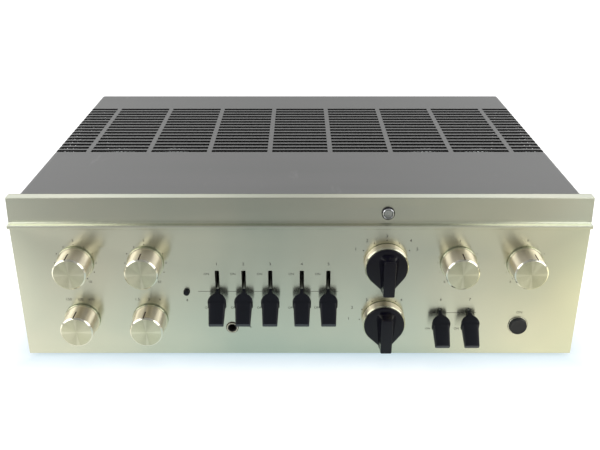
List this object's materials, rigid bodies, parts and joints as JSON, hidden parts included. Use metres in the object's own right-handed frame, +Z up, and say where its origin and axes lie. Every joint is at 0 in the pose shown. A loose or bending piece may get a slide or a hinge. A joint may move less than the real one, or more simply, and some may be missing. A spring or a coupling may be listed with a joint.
{
  "type": "tube integrated amplifier",
  "caption": "Tube integrated amplifier with a champagne aluminium front panel, round knobs, pointer selectors, black lever switches and a folded grey cover with rows of perforations.",
  "frame": {"origin": "middle of the part's box at the height of the feet's undersides", "axes": "+X to the right seen from the front, +Y from the front panel to the rear panel, +Z up"},
  "size_m": [0.452, 0.3358, 0.1433],
  "materials": {
    "champagne_aluminium": "brushed and anodised in a pale champagne tone; the knobs are turned",
    "grey_paint": "satin grey paint on folded sheet",
    "plated_steel": "dull plated steel sheet",
    "black_plastic": "black moulded plastic with a soft gloss",
    "chrome": "polished chrome ring",
    "pilot_jewel": "faceted clear jewel, unlit",
    "rubber": "black moulded rubber",
    "transformer_iron": "black lacquered laminations and bells",
    "tube_glass": "clear glass over a dark base",
    "capacitor_aluminium": "plain drawn aluminium can",
    "board_laminate": "brown phenolic laminate"
  },
  "bodies": {
    "housing": {"front_panel": "champagne_aluminium", "sub_panel": "plated_steel", "chassis": "plated_steel", "bottom_plate": "plated_steel", "rear_panel": "plated_steel", "top_cover": "grey_paint", "foot_left": "rubber", "foot_right": "rubber", "foot_rear_left": "rubber", "foot_rear_right": "rubber", "bass_potentiometer": "plated_steel", "treble_potentiometer": "plated_steel", "balance_potentiometer": "plated_steel", "volume_potentiometer": "plated_steel", "bass_frequency_switch": "board_laminate", "treble_frequency_switch": "board_laminate", "input_selector_switch": "board_laminate", "mode_selector_switch": "board_laminate", "lever_switch_bank": "plated_steel", "short_lever_switch_bank": "plated_steel", "tone_defeat_switch": "black_plastic", "power_bezel": "champagne_aluminium", "power_switch": "black_plastic", "headphone_jack": "black_plastic", "pilot_bezel": "chrome", "pilot_jewel": "pilot_jewel", "power_transformer": "transformer_iron", "output_transformer_left": "transformer_iron", "output_transformer_right": "transformer_iron", "output_tube_1": "tube_glass", "output_tube_2": "tube_glass", "output_tube_3": "tube_glass", "output_tube_4": "tube_glass", "driver_tube_left": "tube_glass", "driver_tube_right": "tube_glass", "filter_capacitor": "capacitor_aluminium", "main_board": "board_laminate", "input_jacks": "board_laminate", "speaker_terminals": "black_plastic", "fuse_holder": "black_plastic", "cord_gland": "black_plastic"},
    "bass_knob": {"bass_knob": "champagne_aluminium"},
    "treble_knob": {"treble_knob": "champagne_aluminium"},
    "bass_frequency_knob": {"bass_frequency_knob": "champagne_aluminium"},
    "treble_frequency_knob": {"treble_frequency_knob": "champagne_aluminium"},
    "balance_knob": {"balance_knob": "champagne_aluminium"},
    "volume_knob": {"volume_knob": "champagne_aluminium"},
    "input_selector": {"input_selector_pointer": "black_plastic", "input_selector_base": "champagne_aluminium"},
    "mode_selector": {"mode_selector_pointer": "black_plastic", "mode_selector_base": "champagne_aluminium"},
    "low_boost_lever": {"low_boost_lever": "black_plastic"},
    "low_cut_lever": {"low_cut_lever": "black_plastic"},
    "high_cut_lever": {"high_cut_lever": "black_plastic"},
    "dubbing_lever": {"dubbing_lever": "black_plastic"},
    "monitor_lever": {"monitor_lever": "black_plastic"},
    "recording_lever": {"recording_lever": "black_plastic"},
    "attenuate_lever": {"attenuate_lever": "black_plastic"},
    "tone_defeat_button": {"tone_defeat_button": "black_plastic"},
    "power_button": {"power_button": "black_plastic"}
  },
  "joints": [
    {"name": "bass_turn", "type": "hinge", "parent": "housing", "child": "bass_knob", "pos_m": [-0.1779, -0.14385, 0.088], "axis": [0, 1, 0], "range_deg": [-142, 158]},
    {"name": "treble_turn", "type": "hinge", "parent": "housing", "child": "treble_knob", "pos_m": [-0.1224, -0.14385, 0.088], "axis": [0, 1, 0], "range_deg": [-146, 154]},
    {"name": "bass_frequency_turn", "type": "hinge", "parent": "housing", "child": "bass_frequency_knob", "pos_m": [-0.1779, -0.14385, 0.0363], "axis": [0, 1, 0], "range_deg": [-30, 30]},
    {"name": "treble_frequency_turn", "type": "hinge", "parent": "housing", "child": "treble_frequency_knob", "pos_m": [-0.1224, -0.14385, 0.0363], "axis": [0, 1, 0], "range_deg": [-30, 30]},
    {"name": "balance_turn", "type": "hinge", "parent": "housing", "child": "balance_knob", "pos_m": [0.1256, -0.14385, 0.088], "axis": [0, 1, 0], "range_deg": [-152, 148]},
    {"name": "volume_turn", "type": "hinge", "parent": "housing", "child": "volume_knob", "pos_m": [0.1784, -0.14385, 0.088], "axis": [0, 1, 0], "range_deg": [-166, 134]},
    {"name": "input_selector_turn", "type": "hinge", "parent": "housing", "child": "input_selector", "pos_m": [0.0681, -0.14385, 0.088], "axis": [0, 1, 0], "range_deg": [-60, 60]},
    {"name": "mode_selector_turn", "type": "hinge", "parent": "housing", "child": "mode_selector", "pos_m": [0.0681, -0.14385, 0.0363], "axis": [0, 1, 0], "range_deg": [-90, 30]},
    {"name": "low_boost_rock", "type": "hinge", "parent": "housing", "child": "low_boost_lever", "pos_m": [-0.0662, -0.09885, 0.0624], "axis": [1, 0, 0], "range_deg": [-19, 19]},
    {"name": "low_cut_rock", "type": "hinge", "parent": "housing", "child": "low_cut_lever", "pos_m": [-0.045, -0.09885, 0.0624], "axis": [1, 0, 0], "range_deg": [-19, 19]},
    {"name": "high_cut_rock", "type": "hinge", "parent": "housing", "child": "high_cut_lever", "pos_m": [-0.0237, -0.09885, 0.0624], "axis": [1, 0, 0], "range_deg": [-19, 19]},
    {"name": "dubbing_rock", "type": "hinge", "parent": "housing", "child": "dubbing_lever", "pos_m": [0.0015, -0.09885, 0.0624], "axis": [1, 0, 0], "range_deg": [-19, 19]},
    {"name": "monitor_rock", "type": "hinge", "parent": "housing", "child": "monitor_lever", "pos_m": [0.0227, -0.09885, 0.0624], "axis": [1, 0, 0], "range_deg": [-19, 19]},
    {"name": "recording_rock", "type": "hinge", "parent": "housing", "child": "recording_lever", "pos_m": [0.1141, -0.09885, 0.0424], "axis": [1, 0, 0], "range_deg": [0, 19]},
    {"name": "attenuate_rock", "type": "hinge", "parent": "housing", "child": "attenuate_lever", "pos_m": [0.1376, -0.09885, 0.0424], "axis": [1, 0, 0], "range_deg": [0, 19]},
    {"name": "tone_defeat_push", "type": "slide", "parent": "housing", "child": "tone_defeat_button", "axis": [0, 1, 0], "range_m": [0, 0.002]},
    {"name": "power_push", "type": "slide", "parent": "housing", "child": "power_button", "axis": [0, 1, 0], "range_m": [0, 0.003]}
  ]
}
